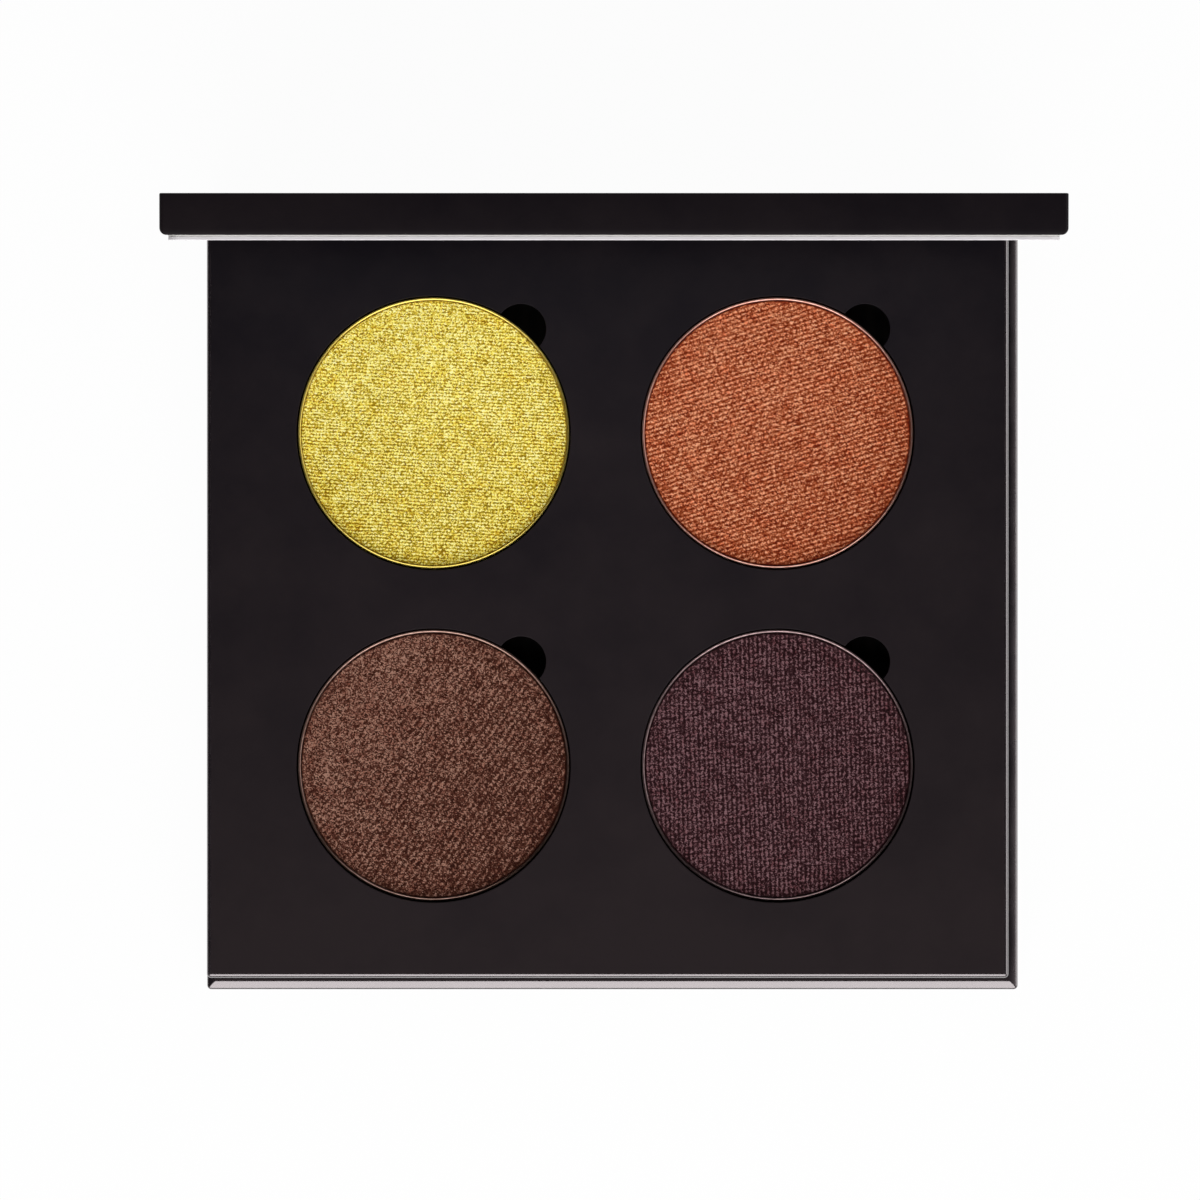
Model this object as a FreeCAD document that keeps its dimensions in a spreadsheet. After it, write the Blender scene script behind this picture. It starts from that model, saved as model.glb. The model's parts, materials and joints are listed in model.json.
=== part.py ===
import FreeCAD, Part
import os
import Sketcher

# Book-style magnetic eyeshadow palette in wrapped paperboard, in millimetres.
# The origin is the centre of the underside, +Y runs to the hinge and +Z is up.
# Lid pieces are drawn closed, about the hinge axis, and are then swung open by lid_angle.

DIMENSIONS = [
    # name, value, what it is
    ("pan_diameter", 26.0, "outside of a pan"),
    ("pan_height", 4.0, "pan, floor to rim"),
    ("pan_wall", 0.3, "tinplate of a pan"),
    ("pan_corner", 0.7, "outer radius at the foot of a pan"),
    ("powder_recess", 0.15, "powder below the rim"),
    ("powder_gap", 0.02, "powder to the pan, all round"),
    ("powder_edge", 0.35, "pressed edge radius of the powder"),
    ("pan_pitch_x", 32.9, "pan centres, across"),
    ("pan_pitch_y", 31.8, "pan centres, front to rear"),
    ("well_clearance", 0.25, "well to pan, all round"),
    ("notch_radius", 2.5, "finger notch"),
    ("notch_bearing", 50.0, "notch direction from +X, degrees"),
    ("rim_margin_left", 8.69, "pan to left edge of the tray"),
    ("rim_margin_right", 9.09, "pan to right edge of the tray"),
    ("rim_margin_front", 7.31, "pan to front edge of the tray"),
    ("rim_margin_rear", 6.73, "pan to rear edge of the tray"),
    ("ledge_left", 0.29, "case beyond the tray, left"),
    ("ledge_right", 1.23, "case beyond the tray, right"),
    ("ledge_front", 1.42, "case beyond the tray, front"),
    ("case_paper", 0.25, "soft-touch paper round the case"),
    ("case_corner", 0.4, "corner radius of the wrapped case, seen from above"),
    ("case_edge", 0.35, "edge radius of the wrapped case, round its faces"),
    ("case_board", 2.0, "greyboard of base and spine"),
    ("lining_paper", 0.15, "lining paper"),
    ("lining_inset", 0.4, "base lining back from the edge"),
    ("floor_board", 1.2, "greyboard under the magnetic sheet"),
    ("magnet_sheet", 0.8, "magnetic rubber sheet"),
    ("spacer_foam", 3.4, "foam spacer with the wells"),
    ("platform_board", 1.0, "top card with the wells"),
    ("tray_paper", 0.2, "paper over the tray"),
    ("tray_corner", 0.6, "outer edge radius of the tray"),
    ("tray_wall", 3.0, "greyboard strips round the tray"),
    ("closing_gap", 0.15, "mirror to tray when closed"),
    ("lid_board", 2.1, "greyboard of the lid"),
    ("mirror_card", 1.1, "card behind the mirror, with the magnets"),
    ("mirror_sheet", 0.35, "mirror"),
    ("mirror_film", 0.1, "adhesive film behind the mirror"),
    ("mirror_corner", 1.0, "corner radius of the mirror"),
    ("mirror_margin_side", 0.7, "lid edge to mirror, left and right"),
    ("mirror_margin_free", 0.7, "lid edge to mirror, free end"),
    ("mirror_margin_hinge", 2.6, "lid edge to mirror, hinge end"),
    ("hinge_inset", 0.2, "hinge axis inside the outer paper"),
    ("hinge_fold", 0.26, "radius of the folded crease"),
    ("hinge_gap", 0.3, "hinge axis to the edge of the lid"),
    ("lid_angle", 87.63, "lid from closed, degrees"),
    ("magnet_length", 8.0, "closing magnet and plate, along X"),
    ("magnet_width", 2.0, "closing magnet and plate, front to rear"),
    ("magnet_thickness", 1.0, "closing magnet and plate"),
    ("magnet_fit", 0.05, "magnet in its pocket, all round"),
    ("magnet_inset", 12.0, "magnet's middle in from the side walls"),
    ("edge_break", 0.2, "edge of the spine's paper, and the spine board short of it"),
]

# Sizes that follow from the driving dimensions, as formulas of a second sheet.
FOLLOWING = [
    ("tray_width", "Dims.rim_margin_left + Dims.pan_diameter + Dims.pan_pitch_x + Dims.rim_margin_right"),
    ("tray_depth", "Dims.rim_margin_front + Dims.pan_diameter + Dims.pan_pitch_y + Dims.rim_margin_rear"),
    ("case_width", "Dims.ledge_left + tray_width + Dims.ledge_right"),
    ("spine_stack", "Dims.lining_paper + Dims.case_board + Dims.case_paper"),
    ("case_depth", "Dims.ledge_front + tray_depth + spine_stack"),
    ("case_right", "case_width / 2"),
    ("case_left", "-case_right"),
    ("case_rear", "case_depth / 2"),
    ("case_front", "-case_rear"),
    ("tray_left", "case_left + Dims.ledge_left"),
    ("tray_right", "tray_left + tray_width"),
    ("tray_front", "case_front + Dims.ledge_front"),
    ("tray_rear", "tray_front + tray_depth"),
    ("pan_left", "tray_left + Dims.rim_margin_left + Dims.pan_diameter / 2"),
    ("pan_right", "pan_left + Dims.pan_pitch_x"),
    ("pan_front", "tray_front + Dims.rim_margin_front + Dims.pan_diameter / 2"),
    ("pan_rear", "pan_front + Dims.pan_pitch_y"),
    ("well_radius", "Dims.pan_diameter / 2 + Dims.well_clearance"),
    ("notch_right", "Dims.pan_diameter / 2 * cos(Dims.notch_bearing * 1 deg)"),
    ("notch_rear", "Dims.pan_diameter / 2 * sin(Dims.notch_bearing * 1 deg)"),
    ("board_top", "Dims.case_paper + Dims.case_board"),
    ("base_top", "board_top + Dims.lining_paper"),
    ("sheet_bottom", "base_top + Dims.floor_board"),
    ("well_bottom", "sheet_bottom + Dims.magnet_sheet"),
    ("spacer_top", "well_bottom + Dims.spacer_foam"),
    ("platform_top", "spacer_top + Dims.platform_board"),
    ("tray_top", "platform_top + Dims.tray_paper"),
    ("core_left", "tray_left + Dims.tray_paper"),
    ("core_right", "tray_right - Dims.tray_paper"),
    ("core_front", "tray_front + Dims.tray_paper"),
    ("core_rear", "tray_rear - Dims.tray_paper"),
    ("inner_left", "core_left + Dims.tray_wall"),
    ("inner_right", "core_right - Dims.tray_wall"),
    ("inner_front", "core_front + Dims.tray_wall"),
    ("inner_rear", "core_rear - Dims.tray_wall"),
    ("spine_front", "tray_rear + Dims.lining_paper"),
    ("spine_rear", "spine_front + Dims.case_board"),
    ("mirror_proud", "Dims.mirror_sheet + Dims.mirror_film"),
    ("lid_stack", "Dims.case_paper + Dims.lid_board + Dims.mirror_card + Dims.lining_paper"),
    ("lid_outer", "Dims.hinge_inset"),
    ("lid_inner", "lid_outer - lid_stack"),
    ("lid_board_bottom", "lid_outer - Dims.case_paper - Dims.lid_board"),
    ("card_bottom", "lid_board_bottom - Dims.mirror_card"),
    ("hinge_rear", "case_rear - Dims.hinge_inset"),
    ("hinge_height", "tray_top + Dims.closing_gap + mirror_proud - lid_inner"),
    ("fold_bottom", "hinge_height - Dims.hinge_fold"),
    ("lid_free", "case_front - hinge_rear"),
    ("lid_hinge_edge", "-Dims.hinge_gap"),
    ("mirror_left", "case_left + Dims.mirror_margin_side"),
    ("mirror_right", "case_right - Dims.mirror_margin_side"),
    ("mirror_free", "lid_free + Dims.mirror_margin_free"),
    ("mirror_hinge", "lid_hinge_edge - Dims.mirror_margin_hinge"),
    ("magnet_line", "(core_front + inner_front) / 2"),
    ("magnet_left", "inner_left + Dims.magnet_inset"),
    ("magnet_right", "inner_right - Dims.magnet_inset"),
]

PANS = [
    # shade, column, row
    ("gold", "pan_left", "pan_rear"),
    ("copper", "pan_right", "pan_rear"),
    ("brown", "pan_left", "pan_front"),
    ("plum", "pan_right", "pan_front"),
]

doc = FreeCAD.newDocument("eyeshadow_palette")
nodes = []


def make_sheets():
    """The driving dimensions, and the sizes that follow from them."""
    driving = doc.addObject("Spreadsheet::Sheet", "Dims")
    for row, (name, value, note) in enumerate(DIMENSIONS, start=1):
        driving.set(f"A{row}", name)
        driving.set(f"B{row}", str(value))
        driving.set(f"C{row}", note)
        driving.setAlias(f"B{row}", name)
    doc.recompute()
    following = doc.addObject("Spreadsheet::Sheet", "Sizes")
    for row, (name, formula) in enumerate(FOLLOWING, start=1):
        following.set(f"A{row}", name)
        following.setAlias(f"B{row}", name)
        following.set(f"B{row}", "=" + formula)
    doc.recompute()
    return driving, following


def size(name):
    """The value of a cell of either sheet."""
    sheet = dims if hasattr(dims, name) else sizes
    return float(getattr(sheet, name))


def formula(text):
    """Puts the sheet before each name in a formula."""
    driving = {name for name, value, note in DIMENSIONS}
    words = []
    for word in text.split():
        bare = word.strip("()-")
        sheet = "Dims" if bare in driving else "Sizes"
        words.append(word.replace(bare, f"{sheet}.{bare}") if bare and bare[0].isalpha() else word)
    return " ".join(words)


def value_of(text):
    """What a formula comes to now."""
    return float(sizes.evalExpression(formula(text)))


def new_body(label):
    body = doc.addObject("PartDesign::Body", label)
    body.Label = label
    nodes.append(body)
    return body


def flat_sketch(body, name, height):
    """A sketch parallel to the body's XY plane, at a height."""
    plane = next(item for item in body.Origin.OriginFeatures if item.Role == "XY_Plane")
    sketch = body.newObject("Sketcher::SketchObject", name)
    sketch.AttachmentSupport = (plane, [""])
    sketch.MapMode = "FlatFace"
    sketch.setExpression("AttachmentOffset.Base.z", formula(height))
    return sketch


def add_rectangle(sketch, left, right, front, rear):
    """A rectangle whose four sides are bound to formulas."""
    x0, x1, y0, y1 = (value_of(side) for side in (left, right, front, rear))
    corners = [FreeCAD.Vector(x, y, 0) for x, y in ((x0, y0), (x1, y0), (x1, y1), (x0, y1))]
    first = sketch.GeometryCount
    for start, end in zip(corners, corners[1:] + corners[:1]):
        sketch.addGeometry(Part.LineSegment(start, end), False)
    for side in range(4):
        sketch.addConstraint(Sketcher.Constraint("Coincident", first + side, 2, first + (side + 1) % 4, 1))
        way = "Horizontal" if side % 2 == 0 else "Vertical"
        sketch.addConstraint(Sketcher.Constraint(way, first + side))
    bind_point(sketch, first, left, front)
    bind_point(sketch, first + 2, right, rear)


def bind_point(sketch, geometry, across, along, point=1):
    """Holds a point of the sketch at two formulas, measured from the sketch's origin."""
    for kind, text in (("DistanceX", across), ("DistanceY", along)):
        constraint = Sketcher.Constraint(kind, -1, 1, geometry, point, value_of(text))
        index = sketch.addConstraint(constraint)
        sketch.setExpression(f"Constraints[{index}]", formula(text))


def add_circle(sketch, across, along, radius):
    """A circle whose centre and radius are bound to formulas."""
    centre = FreeCAD.Vector(value_of(across), value_of(along), 0)
    circle = Part.Circle(centre, FreeCAD.Vector(0, 0, 1), value_of(radius))
    geometry = sketch.addGeometry(circle, False)
    bind_point(sketch, geometry, across, along, point=3)
    index = sketch.addConstraint(Sketcher.Constraint("Radius", geometry, value_of(radius)))
    sketch.setExpression(f"Constraints[{index}]", formula(radius))


def pad(body, sketch, thickness):
    feature = body.newObject("PartDesign::Pad", sketch.Name + "_pad")
    feature.Profile = sketch
    feature.setExpression("Length", formula(thickness))
    doc.recompute()
    return feature


def pocket_up(body, sketch, depth):
    """Cuts upwards from the sketch, and fails if nothing was cut."""
    before = body.Shape.Volume
    feature = body.newObject("PartDesign::Pocket", sketch.Name + "_cut")
    feature.Profile = sketch
    feature.Reversed = True
    feature.setExpression("Length", formula(depth))
    doc.recompute()
    if not body.Shape.Volume < before:
        raise RuntimeError(f"{sketch.Name} cut nothing from {body.Label}")
    return feature


def round_edges(body, base, chosen, radius):
    """Rounds the edges of a feature for which chosen(edge) is true."""
    names = [f"Edge{i}" for i, edge in enumerate(base.Shape.Edges, start=1) if chosen(edge)]
    feature = body.newObject("PartDesign::Fillet", base.Name + "_round")
    feature.Base = (base, names)
    feature.setExpression("Radius", formula(radius))
    doc.recompute()
    return feature


def hollow(body, base, open_height, wall):
    """Leaves a skin of one thickness inside a feature, open at its flat face at a height."""
    names = [f"Face{i}" for i, face in enumerate(base.Shape.Faces, start=1)
             if abs(face.BoundBox.ZMin - open_height) < 1e-6 and abs(face.BoundBox.ZMax - open_height) < 1e-6]
    feature = body.newObject("PartDesign::Thickness", base.Name + "_skin")
    feature.Base = (base, names)
    feature.Mode = 0
    feature.Join = 0
    feature.Reversed = True
    feature.setExpression("Value", formula(wall))
    doc.recompute()
    return feature


def upright(edge):
    return edge.BoundBox.ZLength > 1e-3 and edge.BoundBox.DiagonalLength - edge.BoundBox.ZLength < 1e-6


def at_height(height):
    def chosen(edge):
        return abs(edge.BoundBox.ZMin - height) < 1e-6 and abs(edge.BoundBox.ZMax - height) < 1e-6
    return chosen


def plate(label, left, right, front, rear, bottom, thickness):
    """A flat rectangular piece."""
    body = new_body(label)
    outline = flat_sketch(body, label + "_outline", bottom)
    add_rectangle(outline, left, right, front, rear)
    pad(body, outline, thickness)
    return body


def cut_wells(body, bottom, thickness):
    """The four pan wells and their finger notches."""
    wells = flat_sketch(body, body.Label + "_wells", bottom)
    for shade, column, row in PANS:
        add_circle(wells, column, row, "well_radius")
    pocket_up(body, wells, thickness)
    notches = flat_sketch(body, body.Label + "_notches", bottom)
    for shade, column, row in PANS:
        add_circle(notches, f"{column} + notch_right", f"{row} + notch_rear", "notch_radius")
    pocket_up(body, notches, thickness)


def base_wrap():
    body = plate("base_wrap", "case_left", "case_right", "case_front", "case_rear", "0", "board_top")
    corners = round_edges(body, body.Tip, upright, "case_corner")
    foot = round_edges(body, corners, at_height(0), "case_edge")
    hollow(body, foot, size("board_top"), "case_paper")


def base_board():
    body = plate("base_board", "case_left + case_paper", "case_right - case_paper",
                 "case_front + case_paper", "tray_rear", "case_paper", "case_board")
    front = size("case_front") + size("case_paper")

    def front_corner(edge):
        return upright(edge) and abs(edge.BoundBox.YMin - front) < 1e-6
    corners = round_edges(body, body.Tip, front_corner, "case_corner - case_paper")
    round_edges(body, corners, under_edge, "case_edge - case_paper")


def under_edge(edge):
    """An edge of the base board's underside that lies in the fold of the paper."""
    box = edge.BoundBox
    under = at_height(size("case_paper"))
    return under(edge) and box.YMin < size("tray_rear") - 1e-6


def base_lining():
    plate("base_lining", "case_left + lining_inset", "case_right - lining_inset",
          "case_front + lining_inset", "tray_rear", "board_top", "lining_paper")


def spine_board():
    plate("spine_board", "case_left + case_paper", "case_right - case_paper",
          "spine_front", "spine_rear - edge_break",
          "case_paper + edge_break", "tray_top - case_paper - edge_break")


def spine_wrap():
    """The paper over the back and the ends of the spine, up to the crease."""
    body = plate("spine_wrap", "case_left", "case_right", "spine_rear", "case_rear",
                 "board_top", "fold_bottom - board_top")
    rear = size("case_rear")

    def rear_corner(edge):
        return upright(edge) and abs(edge.BoundBox.YMax - rear) < 1e-6
    round_edges(body, body.Tip, rear_corner, "edge_break")
    for side, left, right in (("left", "case_left", "case_left + case_paper"),
                              ("right", "case_right - case_paper", "case_right")):
        end = flat_sketch(body, "spine_end_" + side, "board_top")
        add_rectangle(end, left, right, "tray_rear", "spine_rear")
        pad(body, end, "tray_top - board_top")


def hinge_lining():
    """The inner hinge paper: behind the tray, over the spine and up the back to the crease."""
    body = plate("hinge_lining", "case_left + case_paper", "case_right - case_paper",
                 "tray_rear", "spine_front", "board_top", "tray_top + lining_paper - board_top")
    over = flat_sketch(body, "lining_over_spine", "tray_top")
    add_rectangle(over, "case_left + case_paper", "case_right - case_paper", "spine_front", "spine_rear")
    pad(body, over, "lining_paper")
    back = flat_sketch(body, "lining_up_back", "tray_top + lining_paper")
    add_rectangle(back, "case_left + case_paper", "case_right - case_paper",
                  "spine_rear - lining_paper", "spine_rear")
    pad(body, back, "fold_bottom - tray_top - lining_paper")


def hinge_crease():
    """The folded paper along the hinge axis."""
    fold = doc.addObject("Part::Cylinder", "hinge_crease")
    fold.Label = "hinge_crease"
    fold.setExpression("Radius", formula("hinge_fold"))
    fold.setExpression("Height", formula("case_width - case_paper - case_paper"))
    fold.Placement.Rotation = FreeCAD.Rotation(FreeCAD.Vector(0, 1, 0), 90)
    fold.setExpression("Placement.Base.x", formula("case_left + case_paper"))
    fold.setExpression("Placement.Base.y", formula("hinge_rear"))
    fold.setExpression("Placement.Base.z", formula("hinge_height"))
    nodes.append(fold)


def tray_walls():
    """Greyboard strips: the front and rear ones run the full width, the sides fit between."""
    for label, front, rear in (("tray_wall_front", "core_front", "inner_front"),
                               ("tray_wall_rear", "inner_rear", "core_rear")):
        body = plate(label, "core_left", "core_right", front, rear, "base_top", "spacer_top - base_top")
        edge_y = size("core_front") if front == "core_front" else size("core_rear")

        def outer_corner(edge):
            return upright(edge) and abs(edge.BoundBox.YMin - edge_y) < 1e-6
        round_edges(body, body.Tip, outer_corner, "tray_corner - tray_paper")
        if label == "tray_wall_front":
            pockets = flat_sketch(body, "plate_pockets", "spacer_top - magnet_thickness")
            for middle in ("magnet_left", "magnet_right"):
                add_rectangle(pockets, *magnet_sides(middle, "magnet_line", "magnet_fit"))
            pocket_up(body, pockets, "magnet_thickness")
    for label, left, right in (("tray_wall_left", "core_left", "inner_left"),
                               ("tray_wall_right", "inner_right", "core_right")):
        plate(label, left, right, "inner_front", "inner_rear", "base_top", "spacer_top - base_top")


def magnet_sides(middle, line, fit):
    """Left, right, front and rear of a magnet or, with its fit, of its pocket."""
    return (f"{middle} - magnet_length / 2 - {fit}", f"{middle} + magnet_length / 2 + {fit}",
            f"{line} - magnet_width / 2 - {fit}", f"{line} + magnet_width / 2 + {fit}")


def closing_plates():
    for label, middle in (("closing_plate_left", "magnet_left"), ("closing_plate_right", "magnet_right")):
        plate(label, *magnet_sides(middle, "magnet_line", "0"),
              "spacer_top - magnet_thickness", "magnet_thickness")


def tray_floor_board():
    plate("tray_floor_board", "inner_left", "inner_right", "inner_front", "inner_rear",
          "base_top", "floor_board")


def magnetic_sheet():
    plate("magnetic_sheet", "inner_left", "inner_right", "inner_front", "inner_rear",
          "sheet_bottom", "magnet_sheet")


def well_spacer():
    body = plate("well_spacer", "inner_left", "inner_right", "inner_front", "inner_rear",
                 "well_bottom", "spacer_foam")
    cut_wells(body, "well_bottom", "spacer_foam")


def platform_card():
    body = plate("platform_card", "core_left", "core_right", "core_front", "core_rear",
                 "spacer_top", "platform_board")
    corners = round_edges(body, body.Tip, upright, "tray_corner - tray_paper")
    round_edges(body, corners, at_height(size("platform_top")), "tray_corner - tray_paper")
    cut_wells(body, "spacer_top", "platform_board")


def tray_wrap():
    """The paper over the tray's sides and top, cut out at the wells."""
    body = plate("tray_wrap", "tray_left", "tray_right", "tray_front", "tray_rear",
                 "base_top", "tray_top - base_top")
    corners = round_edges(body, body.Tip, upright, "tray_corner")
    rim = round_edges(body, corners, at_height(size("tray_top")), "tray_corner")
    hollow(body, rim, size("base_top"), "tray_paper")
    cut_wells(body, "platform_top", "tray_paper")


def pans():
    """Each tinplate pan and the powder pressed into it."""
    for shade, column, row in PANS:
        pan = new_body("pan_" + shade)
        outline = flat_sketch(pan, f"pan_{shade}_outline", "well_bottom")
        add_circle(outline, column, row, "pan_diameter / 2")
        blank = pad(pan, outline, "pan_height")
        foot = round_edges(pan, blank, at_height(size("well_bottom")), "pan_corner")
        hollow(pan, foot, size("well_bottom") + size("pan_height"), "pan_wall")

        powder = new_body("powder_" + shade)
        cake = flat_sketch(powder, f"powder_{shade}_outline", "well_bottom + pan_wall")
        add_circle(cake, column, row, "pan_diameter / 2 - pan_wall - powder_gap")
        block = pad(powder, cake, "pan_height - pan_wall - powder_recess")
        top = size("well_bottom") + size("pan_height") - size("powder_recess")
        pressed = round_edges(powder, block, at_height(top), "powder_edge")
        bottom = size("well_bottom") + size("pan_wall")
        round_edges(powder, pressed, at_height(bottom), "pan_corner - pan_wall + powder_gap")


def swing(body):
    """Puts a lid piece on the hinge axis and swings it open."""
    body.Placement = FreeCAD.Placement(FreeCAD.Vector(0, 0, 0), FreeCAD.Rotation(FreeCAD.Vector(1, 0, 0), -1))
    body.setExpression("Placement.Base.y", formula("hinge_rear"))
    body.setExpression("Placement.Base.z", formula("hinge_height"))
    body.setExpression("Placement.Rotation.Angle", formula("-lid_angle"))


def lid_wrap():
    body = plate("lid_wrap", "case_left", "case_right", "lid_free", "lid_hinge_edge",
                 "card_bottom", "lid_outer - card_bottom")
    corners = round_edges(body, body.Tip, upright, "case_corner")
    face = round_edges(body, corners, at_height(size("lid_outer")), "case_edge")
    hollow(body, face, size("card_bottom"), "case_paper")
    swing(body)


def lid_core(label, bottom, thickness):
    """A board inside the lid's paper."""
    body = plate(label, "case_left + case_paper", "case_right - case_paper",
                 "lid_free + case_paper", "lid_hinge_edge - case_paper", bottom, thickness)
    round_edges(body, body.Tip, upright, "case_corner - case_paper")
    return body


def lid_boards():
    board = lid_core("lid_board", "lid_board_bottom", "lid_board")
    face = size("lid_outer") - size("case_paper")
    round_edges(board, board.Tip, at_height(face), "case_edge - case_paper")
    swing(board)
    card = lid_core("mirror_backing_card", "card_bottom", "mirror_card")
    pockets = flat_sketch(card, "magnet_pockets", "card_bottom")
    for middle in ("magnet_left", "magnet_right"):
        add_rectangle(pockets, *magnet_sides(middle, "magnet_line - hinge_rear", "magnet_fit"))
    pocket_up(card, pockets, "magnet_thickness")
    swing(card)


def lid_lining():
    body = plate("lid_lining", "case_left", "case_right", "lid_free", "lid_hinge_edge",
                 "lid_inner", "lining_paper")
    round_edges(body, body.Tip, upright, "case_corner")
    swing(body)


def lid_magnets():
    for label, middle in (("lid_magnet_left", "magnet_left"), ("lid_magnet_right", "magnet_right")):
        swing(plate(label, *magnet_sides(middle, "magnet_line - hinge_rear", "0"),
                    "card_bottom", "magnet_thickness"))


def mirror():
    film = plate("mirror_adhesive", "mirror_left", "mirror_right", "mirror_free", "mirror_hinge",
                 "lid_inner - mirror_film", "mirror_film")
    round_edges(film, film.Tip, upright, "mirror_corner")
    swing(film)
    glass = plate("mirror", "mirror_left", "mirror_right", "mirror_free", "mirror_hinge",
                  "lid_inner - mirror_film - mirror_sheet", "mirror_sheet")
    round_edges(glass, glass.Tip, upright, "mirror_corner")
    swing(glass)


def write_parts():
    """Checks every object of the document, then writes one file for each sub-part."""
    doc.recompute()
    for item in doc.Objects:
        if "Invalid" in item.State or "Error" in item.State:
            raise RuntimeError(f"{item.Label} failed: {item.State}")
    for node in nodes:
        if node.Shape.isNull() or not node.Shape.isValid():
            raise RuntimeError(f"{node.Label} has no valid shape")
    os.makedirs("parts", exist_ok=True)
    for node in nodes:
        node.Shape.exportStep(f"parts/{node.Label}.step")
        print(node.Label, round(node.Shape.Volume, 2), "mm3,", len(node.Shape.Solids), "solid")


dims, sizes = make_sheets()
base_wrap()
base_board()
base_lining()
spine_board()
spine_wrap()
hinge_lining()
hinge_crease()
tray_floor_board()
magnetic_sheet()
well_spacer()
tray_walls()
closing_plates()
platform_card()
tray_wrap()
pans()
lid_wrap()
lid_boards()
lid_lining()
lid_magnets()
mirror()
write_parts()
for place in ("hinge_rear", "hinge_height", "lid_free", "pan_left", "pan_right", "pan_front", "pan_rear",
              "tray_top", "well_bottom", "case_width", "case_depth"):
    print(place, round(size(place), 4))
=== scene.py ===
"""Dresses a square, book-style eyeshadow palette of four pressed powders on its packed frame.

Lengths in this file are in millimetres unless a property says otherwise, and meshes are scaled to
metres as they are finished. The lid's pieces are drawn closed, about the hinge axis, and then swung.
"""
import json
import math

import bmesh
import bpy
from bpy.props import FloatProperty, FloatVectorProperty, IntProperty, PointerProperty
from mathutils import Matrix, Vector
from mathutils.geometry import delaunay_2d_cdt

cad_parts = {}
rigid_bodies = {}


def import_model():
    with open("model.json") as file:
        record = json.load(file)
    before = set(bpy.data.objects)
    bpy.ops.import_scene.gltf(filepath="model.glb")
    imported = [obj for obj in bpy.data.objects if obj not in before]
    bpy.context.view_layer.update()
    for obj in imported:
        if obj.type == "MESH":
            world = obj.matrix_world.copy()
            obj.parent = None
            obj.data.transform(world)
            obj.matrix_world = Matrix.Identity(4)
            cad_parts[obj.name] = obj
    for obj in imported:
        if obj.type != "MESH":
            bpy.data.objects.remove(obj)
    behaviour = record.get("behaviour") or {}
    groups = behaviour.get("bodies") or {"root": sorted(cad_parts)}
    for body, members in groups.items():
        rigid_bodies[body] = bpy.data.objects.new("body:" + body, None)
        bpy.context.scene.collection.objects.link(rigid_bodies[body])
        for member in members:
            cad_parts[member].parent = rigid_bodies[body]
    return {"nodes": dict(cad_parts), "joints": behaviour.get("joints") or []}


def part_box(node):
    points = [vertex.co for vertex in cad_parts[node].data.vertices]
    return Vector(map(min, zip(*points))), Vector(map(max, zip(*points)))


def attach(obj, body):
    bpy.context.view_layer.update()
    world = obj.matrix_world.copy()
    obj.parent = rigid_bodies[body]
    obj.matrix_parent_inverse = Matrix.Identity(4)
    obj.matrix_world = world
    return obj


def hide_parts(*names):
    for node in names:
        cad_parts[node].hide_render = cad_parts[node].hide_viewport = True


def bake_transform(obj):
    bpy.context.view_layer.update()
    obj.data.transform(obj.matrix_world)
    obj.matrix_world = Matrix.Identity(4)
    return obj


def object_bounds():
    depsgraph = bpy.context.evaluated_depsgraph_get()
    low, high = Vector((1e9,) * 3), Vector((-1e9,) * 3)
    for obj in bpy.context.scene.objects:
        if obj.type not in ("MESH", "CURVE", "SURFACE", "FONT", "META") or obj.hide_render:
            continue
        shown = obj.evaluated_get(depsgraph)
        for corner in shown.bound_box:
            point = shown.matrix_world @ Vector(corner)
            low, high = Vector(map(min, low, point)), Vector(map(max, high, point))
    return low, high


bl_info = {
    "name": "Eyeshadow Palette Dresser",
    "version": (1, 0, 0),
    "blender": (4, 5, 0),
    "location": "3D View > Sidebar > Palette",
    "description": "Papers, pans, pressed powders and mirror of a four-pan eyeshadow palette",
    "category": "Object",
}

for leftover in list(bpy.data.objects):
    bpy.data.objects.remove(leftover)
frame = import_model()
CAD_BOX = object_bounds()

MM = 0.001
SHADES = ("gold", "copper", "brown", "plum")
LID_HINGE = next(joint for joint in frame["joints"] if joint["name"] == "lid_hinge")
AXIS = Vector(LID_HINGE["pos_m"]) / MM
LID_ANGLE = -LID_HINGE["range_deg"][0]
SWING = Matrix.Translation(AXIS) @ Matrix.Rotation(math.radians(-LID_ANGLE), 4, "X")
# How the wells are cut, in millimetres.
WELL_CLEARANCE = 0.11
NOTCH_RADIUS = 2.4
NOTCH_BEARING = math.radians(50)
# How finely the round pieces are drawn.
WELL_STEPS, NOTCH_STEPS, PAN_STEPS = 120, 24, 180
POINTS_PER_THREAD, MOST_POINTS = 3.6, 300


def linear(code):
    """An sRGB hex colour as linear RGBA."""
    channels = [int(code[i:i + 2], 16) / 255 for i in (1, 3, 5)]
    return tuple(c / 12.92 if c <= 0.04045 else ((c + 0.055) / 1.055) ** 2.4 for c in channels) + (1.0,)


def colour(name, code, description):
    """A colour property, given here as sRGB hex."""
    return FloatVectorProperty(name=name, description=description, default=linear(code),
                               subtype="COLOR", size=4, min=0.0, max=1.0)


def length(name, value, description):
    """A length property, given here in millimetres."""
    return FloatProperty(name=name, description=description, default=value * MM,
                         min=0.0, unit="LENGTH", subtype="DISTANCE", precision=5)


def angle(name, value, description):
    """An angle property, given here in degrees."""
    return FloatProperty(name=name, description=description, default=math.radians(value), subtype="ANGLE")


def share(name, value, description, top=1.0):
    """A plain factor, from nothing up to its top."""
    return FloatProperty(name=name, description=description, default=value, min=0.0, max=top,
                         subtype="FACTOR")


# ---------------------------------------------------------------- sizes and colours

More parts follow.
